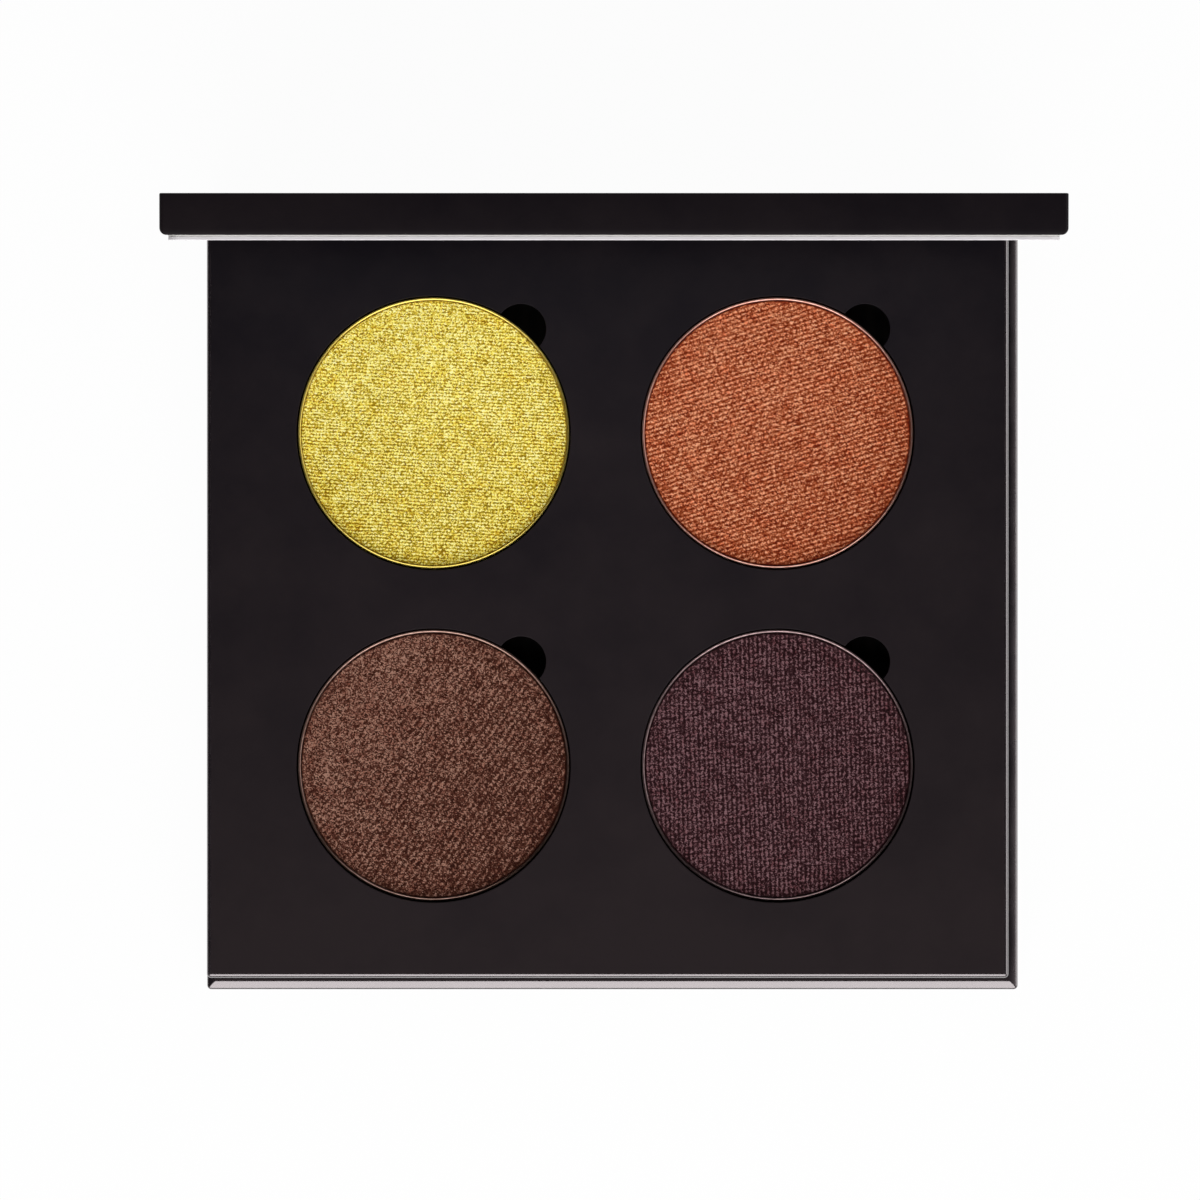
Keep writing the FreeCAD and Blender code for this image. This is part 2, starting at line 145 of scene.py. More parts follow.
class PalettePaper(bpy.types.PropertyGroup):
    colour: colour("Cover paper", "#0F0B11", "Black soft-touch laminated paper")
    # Partly rubbed film, partly painted light: the paper is drawn towards this tone at the front and higher
    # up.
    rubbed_and_lit_tone: colour("Handled tone", "#272022", "Where handling has rubbed the film, mostly at the front")
    fold: colour("Folded edge", "#241F22", "The film where it is stretched bright over a fold")
    lining: colour("Lining paper", "#1B181A", "Black uncoated lining paper")
    board: colour("Greyboard", "#8C867C", "Recycled fibre board")
    grain: length("Grain", 0.35, "Size of the soft-touch film's orange peel")
    tray_edge: length("Tray edge", 0.4, "Radius of the tray's folded edges")
    well_lip: length("Well lip", 0.07, "Radius of the paper's cut lip round a well")
    lid_side: length("Lid side edge", 0.62, "Radius of the lid's inner edges at its sides")
    lid_end: length("Lid end edge", 0.12, "Radius of the lid's other edges")
    fold_edge: length("Cover edge", 0.28, "Radius of the base cover's outer edges")
    ledge_slope: length("Ledge slope", 0.6, "Width of the slope pressed along the base's edge")
    ledge_pitch: angle("Ledge pitch", 25.0, "Tilt of the slope along the base's edge")


class PalettePan(bpy.types.PropertyGroup):
    tin: colour("Tinplate", "#D9CFCB", "Bright tin over steel")
    dulled: colour("Worn tin", "#B9A9A4", "Tin dulled by handling")
    wall: length("Wall", 0.3, "Thickness of a pan's wall")
    foot: length("Foot", 0.7, "Outer radius at the foot of a pan")


class PaletteMirror(bpy.types.PropertyGroup):
    silver: colour("Silvering", "#ECEDEC", "Silvered face of the mirror")
    polished: colour("Polished edge", "#FAF7F9", "Flame-polished edge of the mirror sheet")
    corner: length("Corner", 1.0, "Corner radius of the mirror")
    arris: length("Arris", 0.05, "Fine bevel round the mirror's faces")


class PaletteStage(bpy.types.PropertyGroup):
    floor: colour("Floor", "#F4F4F4", "Plain pale floor")
    camera_height: FloatProperty(name="Camera height", description="Lens above the table",
                                 default=0.7928, min=0.2, unit="LENGTH", subtype="DISTANCE")
    lens: FloatProperty(name="Lens", description="Focal length in millimetres", default=245.9, min=20.0)
    front: FloatProperty(name="Front panel", description="Power of the front light panel",
                         default=6.8, min=0.0, unit="POWER")
    right: FloatProperty(name="Right panel", description="Power of the right light panel",
                         default=1.7, min=0.0, unit="POWER")
    room: share("Room light", 0.1, "Strength of the even light of the room", 2.0)
    bare: share("Floor brightness", 0.97, "How much of the floor's white is its own")


def shade_group(title, **given):
    """The PropertyGroup of one shade: its tones and the plain weave of the cloth that pressed it."""
    fields = {
        # Hollow, low and high are partly painted light: the weave's hollows get painted shade, its thread
        # tops painted highlight.
        "hollow": colour("Hollow", given["tones"][0], "Between the threads"),
        "low": colour("Low", given["tones"][1], "Lower flanks of the threads"),
        "body": colour("Powder", given["tones"][2], "The shade's main tone"),
        "high": colour("High", given["tones"][3], "Tops of the threads"),
        # Pearl is a painted glint: the palest flakes are painted this bright.
        "pearl": colour("Pearl", given["tones"][4], "Bright pearl flakes"),
        "drift": colour("Second pigment", given["drift"], "Pigment that shows through in drifts"),
        "rim": colour("Dusted rim", given["rim"], "The pan's rim with the powder's dust on it"),
        "weft_pitch": length("Weft pitch", given["weft"][0], "Distance between the strong threads"),
        "weft_turn": angle("Weft turn", given["weft"][1], "Direction across the strong threads"),
        "warp_pitch": length("Warp pitch", given["warp"][0], "Distance between the fine threads"),
        "warp_turn": angle("Warp turn", given["warp"][1], "Direction across the fine threads"),
        "warp": share("Warp height", given["warp"][2], "Height of the fine threads beside the strong ones"),
        "checks": share("Checks", given["checks"], "Height of the over-and-under checks"),
        "relief": length("Relief", given["relief"], "Depth of the pressed pattern"),
        "grit": length("Grit", given["grit"], "Height of the powder's loose grain"),
        "weave": share("Weave", given["mix"][0], "How much the threads show", 2.0),
        "speckle": share("Speckle", given["mix"][1], "How much the flakes differ", 2.0),
        "clumping": share("Clumping", given["mix"][2], "How much the clumps show", 3.0),
        # The lean is painted light: the cake is painted paler towards one side, as the light falls across
        # it.
        "lean": FloatVectorProperty(name="Lean", description="Way that the shade grows paler, and how much",
                                    default=given["lean"], size=2),
        # The rim gap is painted shade: a dark ring drawn where the cake's edge meets its rim.
        "gap": share("Rim gap", given["gap"], "How dark the powder's crumbled edge is inside the rim"),
        "seed": IntProperty(name="Seed", description="Seed of the grain", default=given["seed"]),
    }
    return type(title, (bpy.types.PropertyGroup,), {"__annotations__": fields, "__doc__": title})


PaletteGold = shade_group(
    "PaletteGold", tones=("#866B00", "#CAB128", "#E2CB50", "#F4E168", "#FFF9B4"),
    drift="#B08A0C", rim="#D2B872",
    weft=(0.308, 86.6), warp=(0.315, 173.6, 0.26), checks=0.5, relief=0.05, grit=0.03,
    mix=(1.0, 0.85, 0.75), lean=(0.0, 0.06), gap=0.1, seed=3)
PaletteCopper = shade_group(
    "PaletteCopper", tones=("#661800", "#8F3D17", "#9E4E2C", "#AF5F3A", "#E8A680"),
    drift="#A0682A", rim="#CFB2AA",
    weft=(0.422, 107.4), warp=(0.519, 18.9, 0.2), checks=0.45, relief=0.07, grit=0.03,
    mix=(0.9, 0.85, 0.55), lean=(-0.03, 0.03), gap=0.35, seed=7)
PaletteBrown = shade_group(
    "PaletteBrown", tones=("#2E0E02", "#4A2417", "#553024", "#643D30", "#A67E6D"),
    drift="#84492C", rim="#B4978C",
    weft=(0.557, 144.9), warp=(0.464, 62.1, 0.52), checks=0.55, relief=0.07, grit=0.04,
    mix=(0.7, 1.0, 0.65), lean=(-0.09, 0.08), gap=0.35, seed=11)
PalettePlum = shade_group(
    "PalettePlum", tones=("#1E0207", "#2B1014", "#351C20", "#42262A", "#846267"),
    drift="#7A1C30", rim="#B09898",
    weft=(0.427, 2.0), warp=(0.487, 96.1, 0.43), checks=0.4, relief=0.08, grit=0.04,
    mix=(1.1, 0.95, 0.5), lean=(-0.02, 0.0), gap=0.35, seed=19)


class PaletteSettings(bpy.types.PropertyGroup):
    paper: PointerProperty(type=PalettePaper)
    pan: PointerProperty(type=PalettePan)
    mirror: PointerProperty(type=PaletteMirror)
    stage: PointerProperty(type=PaletteStage)
    gold: PointerProperty(type=PaletteGold)
    copper: PointerProperty(type=PaletteCopper)
    brown: PointerProperty(type=PaletteBrown)
    plum: PointerProperty(type=PalettePlum)


# ---------------------------------------------------------------- small tools

def add(tree, kind, inputs=None, **settings):
    """Adds a node with its settings. An input is a value, a socket, or a node for its first output."""
    made = tree.nodes.new(kind)
    for name, value in settings.items():
        setattr(made, name, value)
    for key, value in (inputs or {}).items():
        if isinstance(value, bpy.types.Node):
            value = value.outputs[0]
        if isinstance(value, bpy.types.NodeSocket):
            tree.links.new(value, made.inputs[key])
        else:
            made.inputs[key].default_value = value
    return made


def new_material(name):
    """An empty material, its tree, and the Object coordinates that its patterns are drawn on."""
    material = bpy.data.materials.new(name)
    material.use_nodes = True
    material.node_tree.nodes.clear()
    return material, material.node_tree, add(material.node_tree, "ShaderNodeTexCoord").outputs["Object"]


def shade_with(tree, tone, linked=None, **shader):
    """Ends a material in one Principled shader: a mixed tone, other linked sockets, and plain settings."""
    inputs = {key.replace("_", " "): value for key, value in shader.items()}
    inputs.update({"Base Color": tone.outputs[2], **(linked or {})})
    surface = add(tree, "ShaderNodeBsdfPrincipled", inputs)
    add(tree, "ShaderNodeOutputMaterial", {"Surface": surface})


def put(name, data):
    """A new object in the scene."""
    made = bpy.data.objects.new(name, data)
    bpy.context.scene.collection.objects.link(made)
    return made


def node_box(name):
    """Lowest and highest corner of a frame node, in millimetres."""
    low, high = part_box(name)
    return low / MM, high / MM


def closed_box(name):
    """Corners of a lid node in the lid's own closed frame, about the hinge axis."""
    back = SWING.inverted()
    places = [back @ (vertex.co / MM) for vertex in frame["nodes"][name].data.vertices]
    return (Vector([min(place[i] for place in places) for i in range(3)]),
            Vector([max(place[i] for place in places) for i in range(3)]))


def polar(centre, radius, turn, height):
    """A point on a level circle."""
    return Vector((centre[0] + radius * math.cos(turn), centre[1] + radius * math.sin(turn), height))


def round_corners(low, high, inset, radius, height, steps=6):
    """The outline of a rectangle with round corners, anticlockwise from above. An inset of two numbers
    is for the sides and for the ends."""
    aside, back = inset if isinstance(inset, tuple) else (inset, inset)
    x0, x1, y0, y1 = low[0] + aside, high[0] - aside, low[1] + back, high[1] - back
    radius = max(radius, 0.02)
    outline = []
    for x, y, start in ((x1 - radius, y0 + radius, -90), (x1 - radius, y1 - radius, 0),
                        (x0 + radius, y1 - radius, 90), (x0 + radius, y0 + radius, 180)):
        for step in range(steps + 1):
            outline.append(polar((x, y), radius, math.radians(start + 90 * step / steps), height))
    return outline


def circle(centre, radius, height, steps):
    """The outline of a circle, anticlockwise from above."""
    return [polar(centre, radius, 2 * math.pi * step / steps, height) for step in range(steps)]


def arc(radius, start, end, steps):
    """Points of an arc about the origin as (across, up), for profiles. Angles are in degrees."""
    angles = [math.radians(start + (end - start) * step / steps) for step in range(steps + 1)]
    return [(radius * math.cos(a), radius * math.sin(a)) for a in angles]


def join(shape, one, other, slot=0):
    """A strip of faces from one ring of vertices to another."""
    for i in range(len(one)):
        j = (i + 1) % len(one)
        shape.faces.new((one[i], one[j], other[j], other[i])).material_index = slot


def skin(shape, outlines, caps=(), folds=()):
    """Joins each outline to the next, and returns their vertices. The outlines numbered in caps are
    closed with a face, and the strips numbered in folds get the second material."""
    rings = [[shape.verts.new(point) for point in outline] for outline in outlines]
    for strip, (one, other) in enumerate(zip(rings, rings[1:])):
        join(shape, one, other, int(strip in folds))
    for cap in caps:
        shape.faces.new(rings[cap])
    return rings


def fill_between(shape, outer, holes):
    """Fills the flat face between an outer ring of vertices and the rings of its holes."""
    rings = [outer] + holes
    vertices = [vertex for ring in rings for vertex in ring]
    edges, loops, first = [], [], 0
    for ring in rings:
        edges += [(first + i, first + (i + 1) % len(ring)) for i in range(len(ring))]
        loops.append(list(range(first, first + len(ring))))
        first += len(ring)
    flat = [Vector((vertex.co.x, vertex.co.y)) for vertex in vertices]
    places, _, faces, origins, _, _ = delaunay_2d_cdt(flat, edges, loops, 1, 1e-6)
    for face in faces:
        middle = sum((places[i] for i in face), Vector((0, 0))) / len(face)
        if not any(inside(middle, ring) for ring in holes):
            shape.faces.new([vertices[origins[i][0]] for i in face])


def inside(point, ring):
    """Whether a point lies within a ring of vertices, seen from above."""
    crossings = 0
    for one, other in zip(ring, ring[1:] + ring[:1]):
        a, b = one.co, other.co
        if (a.y > point.y) != (b.y > point.y):
            crossings += point.x < a.x + (point.y - a.y) * (b.x - a.x) / (b.y - a.y)
    return crossings % 2 == 1


def to_mesh(name, shape, turn=Matrix.Identity(4), sharp=40.0):
    """Turns a closed bmesh in millimetres into an object in metres, with its faces outwards."""
    bmesh.ops.recalc_face_normals(shape, faces=shape.faces)
    bmesh.ops.transform(shape, matrix=Matrix.Scale(MM, 4) @ turn, verts=shape.verts)
    mesh = bpy.data.meshes.new(name)
    shape.to_mesh(mesh)
    shape.free()
    mesh.shade_smooth()
    mesh.set_sharp_from_angle(angle=math.radians(sharp))
    return put(name, mesh)


def place(made, body, slot, nodes, *materials):
    """Gives a finished piece its materials, and puts it on the frame in the place of some nodes."""
    for material in materials:
        made.data.materials.append(material)
    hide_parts(*nodes)
    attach(made, body)


def bake_modifier(made, modifier):
    """Keeps a modifier's result as a plain mesh, and removes the modifier."""
    bpy.context.view_layer.update()
    seen = made.evaluated_get(bpy.context.evaluated_depsgraph_get())
    result = bpy.data.meshes.new_from_object(seen)
    result.name = made.name
    made.modifiers.remove(modifier)
    made.data = result


# ---------------------------------------------------------------- materials

def soft_touch_paper(paper, depth):
    """Black art paper laminated with soft-touch film: velvety, dead black, rubbed greyer at the front."""
    material, tree, where = new_material("soft_touch_laminated_paper")
    # Handling shows as cloudy patches about 9 mm across; towards the front and upwards the paper is painted
    # lighter as painted light.
    patches = add(tree, "ShaderNodeTexNoise", {"Vector": where, "Scale": 110.0, "Detail": 4.0,
                                               "Roughness": 0.6})
    place_of = add(tree, "ShaderNodeSeparateXYZ", {0: where})
    # Painted light: lighter towards the front, and lighter with height, as if lit from the front.
    front = add(tree, "ShaderNodeMapRange", {"Value": place_of.outputs[1], 1: depth / 2, 2: -depth / 2})
    front = add(tree, "ShaderNodeMath", {0: place_of.outputs[2], 1: 3.5, 2: front},
                operation="MULTIPLY_ADD")
    cloud = add(tree, "ShaderNodeMath", {0: patches, 1: -0.5}, operation="ADD")
    shade = add(tree, "ShaderNodeMath", {0: cloud, 1: 0.9, 2: front}, operation="MULTIPLY_ADD",
                use_clamp=True)
    tone = add(tree, "ShaderNodeMix", {0: shade, 6: paper.colour, 7: paper.rubbed_and_lit_tone}, data_type="RGBA")
    # The film's own peel is near 0.05 mm, too fine to show, so it is drawn as coarse as paper.grain.
    peel = add(tree, "ShaderNodeTexNoise", {"Vector": where, "Scale": 1.0 / paper.grain, "Detail": 2.0})
    finish = add(tree, "ShaderNodeMapRange", {"Value": peel, 3: 0.42, 4: 0.58})
    bump = add(tree, "ShaderNodeBump", {"Height": peel, "Strength": 0.15, "Distance": 0.02 * MM})
    shade_with(tree, tone, {"Roughness": finish, "Normal": bump}, Specular_IOR_Level=0.08)
    return material


def folded_paper(paper):
    """The same film stretched over a fold: it goes glossy there, and the black thins towards plum grey."""
    material, tree, where = new_material("stretched_laminate_fold")
    # The stretched film ripples every 3 mm or so.
    marks = add(tree, "ShaderNodeTexNoise", {"Vector": where, "Scale": 1.0 / (3.0 * MM), "Detail": 1.0})
    tone = add(tree, "ShaderNodeMix", {0: marks, 6: paper.colour, 7: paper.fold}, data_type="RGBA")
    finish = add(tree, "ShaderNodeMapRange", {"Value": marks, 3: 0.2, 4: 0.34})
    bump = add(tree, "ShaderNodeBump", {"Height": marks, "Strength": 0.3, "Distance": 0.1 * MM})
    shade_with(tree, tone, {"Roughness": finish, "Normal": bump}, Specular_IOR_Level=1.0,
               Specular_Tint=linear("#F4DEE2"), Coat_Weight=1.0, Coat_IOR=1.8, Coat_Roughness=0.16)
    return material


def fibre_sheet(name, base, fleck, fibre, roughness, depth):
    """Uncoated paper or board: matted fibres, a little lighter and darker, and no gloss."""
    material, tree, where = new_material(name)
    long_way = add(tree, "ShaderNodeMapping", {"Vector": where, "Scale": (1.0, 3.0, 3.0)})
    fibres = add(tree, "ShaderNodeTexNoise", {"Vector": long_way, "Scale": 1.0 / (fibre * MM),
                                              "Detail": 5.0, "Roughness": 0.7})
    pick = add(tree, "ShaderNodeMapRange", {"Value": fibres, 1: 0.35, 2: 0.75})
    tone = add(tree, "ShaderNodeMix", {0: pick, 6: base, 7: fleck}, data_type="RGBA")
    bump = add(tree, "ShaderNodeBump", {"Height": fibres, "Strength": 0.5, "Distance": depth * MM})
    shade_with(tree, tone, {"Normal": bump}, Roughness=roughness)
    return material


def cell_foam():
    """Black closed-cell foam, skived: pinholes about 0.4 mm across between soft walls."""
    material, tree, where = new_material("black_cell_foam")
    cells = add(tree, "ShaderNodeTexVoronoi", {"Vector": where, "Scale": 1.0 / (0.4 * MM)})
    tone = add(tree, "ShaderNodeMix", {0: cells, 6: linear("#080708"), 7: linear("#181617")},
               data_type="RGBA")
    bump = add(tree, "ShaderNodeBump", {"Height": cells, "Strength": 0.6, "Distance": 0.1 * MM})
    shade_with(tree, tone, {"Normal": bump}, Roughness=0.9, Specular_IOR_Level=0.1)
    return material


def magnetic_rubber():
    """Calendered ferrite rubber sheet: brown-black with faint rolling lines 1.5 mm apart."""
    material, tree, where = new_material("calendered_magnetic_rubber")
    lines = add(tree, "ShaderNodeTexWave", {"Vector": where, "Scale": 0.314 / (1.5 * MM), "Distortion": 1.5,
                                            "Detail": 2.0})
    tone = add(tree, "ShaderNodeMix", {0: lines, 6: linear("#0C0909"), 7: linear("#151110")},
               data_type="RGBA")
    shade_with(tree, tone, Roughness=0.8, Specular_IOR_Level=0.1)
    return material


def bright_metal(name, base, dull, rough_low, rough_high, grain):
    """Rolled or plated sheet metal: fine directional polish that breaks up its reflections."""
    material, tree, where = new_material(name)
    drawn = add(tree, "ShaderNodeMapping", {"Vector": where, "Scale": (1.0, 1.0, 6.0)})
    streaks = add(tree, "ShaderNodeTexNoise", {"Vector": drawn, "Scale": 1.0 / (grain * MM), "Detail": 4.0})
    tone = add(tree, "ShaderNodeMix", {0: streaks, 6: base, 7: dull}, data_type="RGBA")
    finish = add(tree, "ShaderNodeMapRange", {"Value": streaks, 3: rough_low, 4: rough_high})
    shade_with(tree, tone, {"Roughness": finish}, Metallic=1.0)
    return material


def adhesive_film():
    """Double-sided film: milky, with a slight wave where it was rolled down."""
    material, tree, where = new_material("milky_adhesive_film")
    waves = add(tree, "ShaderNodeTexNoise", {"Vector": where, "Scale": 1.0 / (4.0 * MM)})
    tone = add(tree, "ShaderNodeMix", {0: waves, 6: linear("#E9E6E1"), 7: linear("#F8F6F2")},
               data_type="RGBA")
    shade_with(tree, tone, Roughness=0.4)
    return material


def silvered_sheet(mirror):
    """The mirror's face: silver behind a clear thin sheet, with the faintest smears."""
    material, tree, where = new_material("silvered_mirror_sheet")
    smears = add(tree, "ShaderNodeTexNoise", {"Vector": where, "Scale": 1.0 / (12.0 * MM), "Detail": 4.0})
    finish = add(tree, "ShaderNodeMapRange", {"Value": smears, 1: 0.5, 2: 0.8, 3: 0.012, 4: 0.03})
    tone = add(tree, "ShaderNodeMix", {0: smears, 6: mirror.silver, 7: linear("#E4E8E6")},
               data_type="RGBA")
    shade_with(tree, tone, {"Roughness": finish}, Metallic=1.0)
    return material


def polished_edge(mirror):
    """The mirror sheet's edge, polished pale and bright, with faint saw marks along its length."""
    material, tree, where = new_material("flame_polished_mirror_edge")
    along = add(tree, "ShaderNodeMapping", {"Vector": where, "Scale": (0.15, 1.0, 1.0)})
    scratches = add(tree, "ShaderNodeTexNoise", {"Vector": along, "Scale": 1.0 / (0.2 * MM), "Detail": 4.0})
    tone = add(tree, "ShaderNodeMix", {0: scratches, 6: mirror.polished, 7: linear("#E6E0E4")},
               data_type="RGBA")
    bump = add(tree, "ShaderNodeBump", {"Height": scratches, "Strength": 0.3, "Distance": 0.02 * MM})
    shade_with(tree, tone, {"Normal": bump}, Roughness=0.5)
    return material


def pressed_powder(name, shade, centre, reach):
    """Pearl pigment pressed with a cloth: dull hollows, satin threads and flakes that catch the light."""
    material, tree, where = new_material(f"pressed_{name}_pearl_powder")
    raised = add(tree, "ShaderNodeAttribute", attribute_name="raised").outputs["Fac"]
    # Pearl flakes are 0.03 to 0.1 mm, drawn here at 0.11 mm so that they show. The palest are painted
    # glints.
    flakes = add(tree, "ShaderNodeTexVoronoi", {"Vector": where, "Scale": 1.0 / (0.11 * MM)})
    lot = add(tree, "ShaderNodeSeparateColor", {0: flakes.outputs["Color"]})
    # Loose powder gathers in clumps about 0.8 mm across.
    clumps = add(tree, "ShaderNodeTexNoise", {"Vector": where, "Scale": 1.0 / (0.8 * MM), "Detail": 5.0,
                                              "Roughness": 0.7})
    centred = add(tree, "ShaderNodeMapping", {"Vector": where, "Location": tuple(-c * MM for c in centre)})
    flat = add(tree, "ShaderNodeVectorMath", {0: centred, 1: (1 / (reach * MM), 1 / (reach * MM), 0.0)},
               operation="MULTIPLY")
    # Painted light: the cake grows paler towards one side, the way the light falls across it.
    paler = add(tree, "ShaderNodeVectorMath", {0: flat, 1: (shade.lean[0], shade.lean[1], 0.0)},
                operation="DOT_PRODUCT").outputs["Value"]
    out = add(tree, "ShaderNodeVectorMath", {0: flat}, operation="LENGTH").outputs["Value"]
    # The cake is drawn a little darker just inside its rim.
    rim_darkening = add(tree, "ShaderNodeMapRange", {"Value": out, 1: 0.82, 2: 0.9, 4: -0.015})
    # Its very edge is painted dark: painted shade in the groove between cake and rim.
    painted_rim_shade = add(tree, "ShaderNodeMapRange", {"Value": out, 1: 0.985, 2: 0.995, 4: -shade.gap})
    rim_darkening = add(tree, "ShaderNodeMath", {0: rim_darkening, 1: painted_rim_shade})
    # The weave is rubbed flat in patches about 5 mm across, most of all on the paler side.
    patch = add(tree, "ShaderNodeTexNoise", {"Vector": where, "Scale": 1.0 / (5.0 * MM), "Detail": 4.0})
    rubbed = add(tree, "ShaderNodeMath", {0: paler, 1: 5.0, 2: patch}, operation="MULTIPLY_ADD")
    kept = add(tree, "ShaderNodeMapRange", {"Value": rubbed, 1: 0.6, 2: 0.9, 3: 1.0, 4: 0.35})
    # The weave is painted into the colour too: painted shade in its hollows, painted highlight on its
    # thread tops.
    threads = add(tree, "ShaderNodeMath", {0: add(tree, "ShaderNodeMath", {0: raised, 1: -0.5}), 1: kept},
                  operation="MULTIPLY")
    grain = add(tree, "ShaderNodeMath", {0: lot.outputs[0], 1: -0.5})
    clump = add(tree, "ShaderNodeMath", {0: clumps, 1: -0.5})
    level = add(tree, "ShaderNodeMath", {0: paler, 1: rim_darkening})
    for part, much in ((threads, shade.weave), (grain, shade.speckle), (clump, shade.clumping)):
        level = add(tree, "ShaderNodeMath", {0: part, 1: much, 2: level}, operation="MULTIPLY_ADD")
    level = add(tree, "ShaderNodeMath", {0: level, 1: 0.5})
    tones = add(tree, "ShaderNodeValToRGB", {0: level})
    ramp = tones.color_ramp.elements
    for spot, tone in ((0.385, shade.low), (0.5, shade.body), (0.615, shade.high)):
        ramp.new(spot).color = tone
    ramp[0].position, ramp[0].color = 0.1, shade.hollow
    # Painted glint: the palest end of the ramp is the pearl tone.
    ramp[-1].position, ramp[-1].color = 0.9, shade.pearl
    # A second pigment shows through in drifts about 2 mm across, and where the cake meets its rim.
    drifts = add(tree, "ShaderNodeTexNoise", {"Vector": where, "Scale": 1.0 / (2.0 * MM), "Detail": 6.0,
                                              "Roughness": 0.75})
    edge = add(tree, "ShaderNodeMapRange", {"Value": out, 1: 0.82, 2: 0.93, 4: 0.05})
    gathered = add(tree, "ShaderNodeMath", {0: drifts, 1: edge})
    gathered = add(tree, "ShaderNodeMath", {0: lot.outputs[1], 1: 0.35, 2: gathered},
                   operation="MULTIPLY_ADD")
    much = add(tree, "ShaderNodeMapRange", {"Value": gathered, 1: 0.6, 2: 0.95, 4: 0.7})
    tinted = add(tree, "ShaderNodeMix", {0: much, 6: tones, 7: shade.drift}, data_type="RGBA",
                 blend_type="OVERLAY")
    bump = add(tree, "ShaderNodeBump", {"Height": lot.outputs[2], "Strength": 0.5, "Distance": 0.03 * MM})
    shade_with(tree, tinted, {"Normal": bump}, Roughness=0.6, Specular_IOR_Level=0.1)
    return material


# ---------------------------------------------------------------- powders

